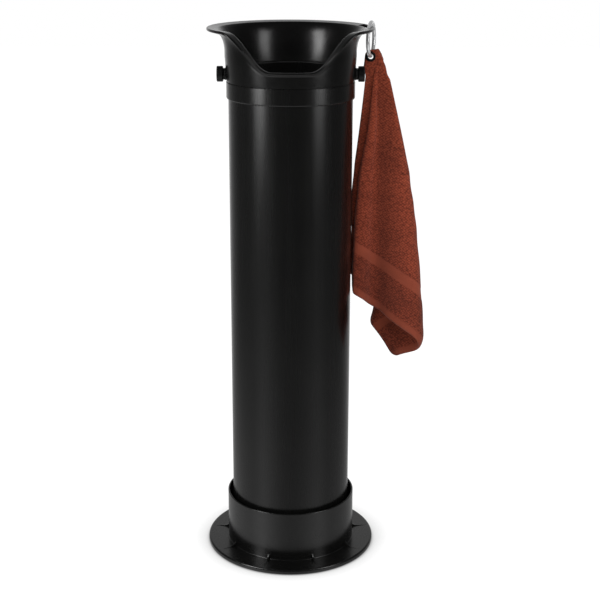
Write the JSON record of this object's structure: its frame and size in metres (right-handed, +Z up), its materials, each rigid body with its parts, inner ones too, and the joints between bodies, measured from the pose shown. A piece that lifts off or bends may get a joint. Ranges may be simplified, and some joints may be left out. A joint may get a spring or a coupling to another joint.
{
  "type": "ashtray bin",
  "caption": "Floor-standing bin: a tall tube in a weighted disc foot, an open flared head with a dipped lip held by clamp knobs, a lift-out liner and a towel hung by its corner from a ring.",
  "frame": {"origin": "on the tube's axis at floor level, at the middle of the central rubber foot's underside", "axes": "+Z up along the tube; -Y towards the dipped front of the lip, where the picture's camera stands; +X to the right as seen from there, the side of the towel"},
  "size_m": [0.3948, 0.324, 1.0092],
  "materials": {
    "black_plastic": "satin black, slightly polished by moulding",
    "grey_plastic": "dark grey, matte",
    "black_rubber": "matte",
    "plain_steel": "zinc plated",
    "bright_chrome": "polished",
    "rust_towelling": "cotton terry with a flat woven border and hem"
  },
  "bodies": {
    "foot": {"foot_moulding": "black_plastic", "ballast_plate": "plain_steel", "ballast_screws": "plain_steel", "rubber_feet": "black_rubber"},
    "column": {"tube": "black_plastic", "bottom_plug": "black_plastic", "plug_seal": "black_rubber", "stop_collar": "black_plastic"},
    "head": {"funnel_head": "black_plastic", "head_gasket": "black_rubber", "left_bush": "black_plastic", "right_bush": "black_plastic"},
    "left_clamp": {"left_washer": "black_rubber"},
    "left_knob": {"left_knob": "black_plastic", "left_stud": "plain_steel"},
    "right_clamp": {"right_washer": "black_rubber"},
    "right_knob": {"right_knob": "black_plastic", "right_stud": "plain_steel"},
    "liner": {"liner": "grey_plastic"},
    "bail": {"bail_wire": "plain_steel", "bail_grip": "black_plastic"},
    "ring": {"towel_ring": "bright_chrome", "gate_pin": "plain_steel"},
    "gate": {"ring_gate": "bright_chrome"},
    "towel": {"towel": "rust_towelling", "eyelet_front": "black_plastic", "eyelet_back": "black_plastic"}
  },
  "joints": [
    {"name": "column_lift", "type": "slide", "parent": "foot", "child": "column", "axis": [0, 0, 1], "range_m": [0, 0.12]},
    {"name": "head_lift", "type": "slide", "parent": "column", "child": "head", "axis": [0, 0, 1], "range_m": [0, 0.08]},
    {"name": "left_clamp_slide", "type": "slide", "parent": "head", "child": "left_clamp", "axis": [-1, 0, 0], "range_m": [0, 0.0051]},
    {"name": "left_knob_turn", "type": "hinge", "parent": "left_clamp", "child": "left_knob", "pos_m": [-0.12, 0, 0.917], "axis": [-1, 0, 0], "range_deg": [0, 1440]},
    {"name": "right_clamp_slide", "type": "slide", "parent": "head", "child": "right_clamp", "axis": [1, 0, 0], "range_m": [0, 0.0051]},
    {"name": "right_knob_turn", "type": "hinge", "parent": "right_clamp", "child": "right_knob", "pos_m": [0.12, 0, 0.917], "axis": [1, 0, 0], "range_deg": [0, 1440]},
    {"name": "liner_lift", "type": "slide", "parent": "column", "child": "liner", "axis": [0, 0, 1], "range_m": [0, 0.98]},
    {"name": "bail_swing", "type": "hinge", "parent": "liner", "child": "bail", "pos_m": [0, 0, 0.9], "axis": [1, 0, 0], "range_deg": [0, 180]},
    {"name": "ring_swing", "type": "hinge", "parent": "head", "child": "ring", "pos_m": [0.14479, 0.02814, 0.9974], "axis": [-0.2419, -0.9703, 0], "range_deg": [0, 22]},
    {"name": "gate_open", "type": "hinge", "parent": "ring", "child": "gate", "pos_m": [0.15132, 0.05435, 0.96331], "axis": [0.9703, -0.2419, 0], "range_deg": [0, 30], "stiffness_Nm_per_rad": 0.02},
    {"name": "towel_swing", "type": "hinge", "parent": "ring", "child": "towel", "pos_m": [0.14479, 0.02814, 0.9461], "axis": [-0.2419, -0.9703, 0], "range_deg": [0, 25]}
  ],
  "couplings": [
    {"joint": "left_clamp_slide", "follows": "left_knob_turn", "m_per_rad": 0.00019894},
    {"joint": "right_clamp_slide", "follows": "right_knob_turn", "m_per_rad": 0.00019894}
  ]
}
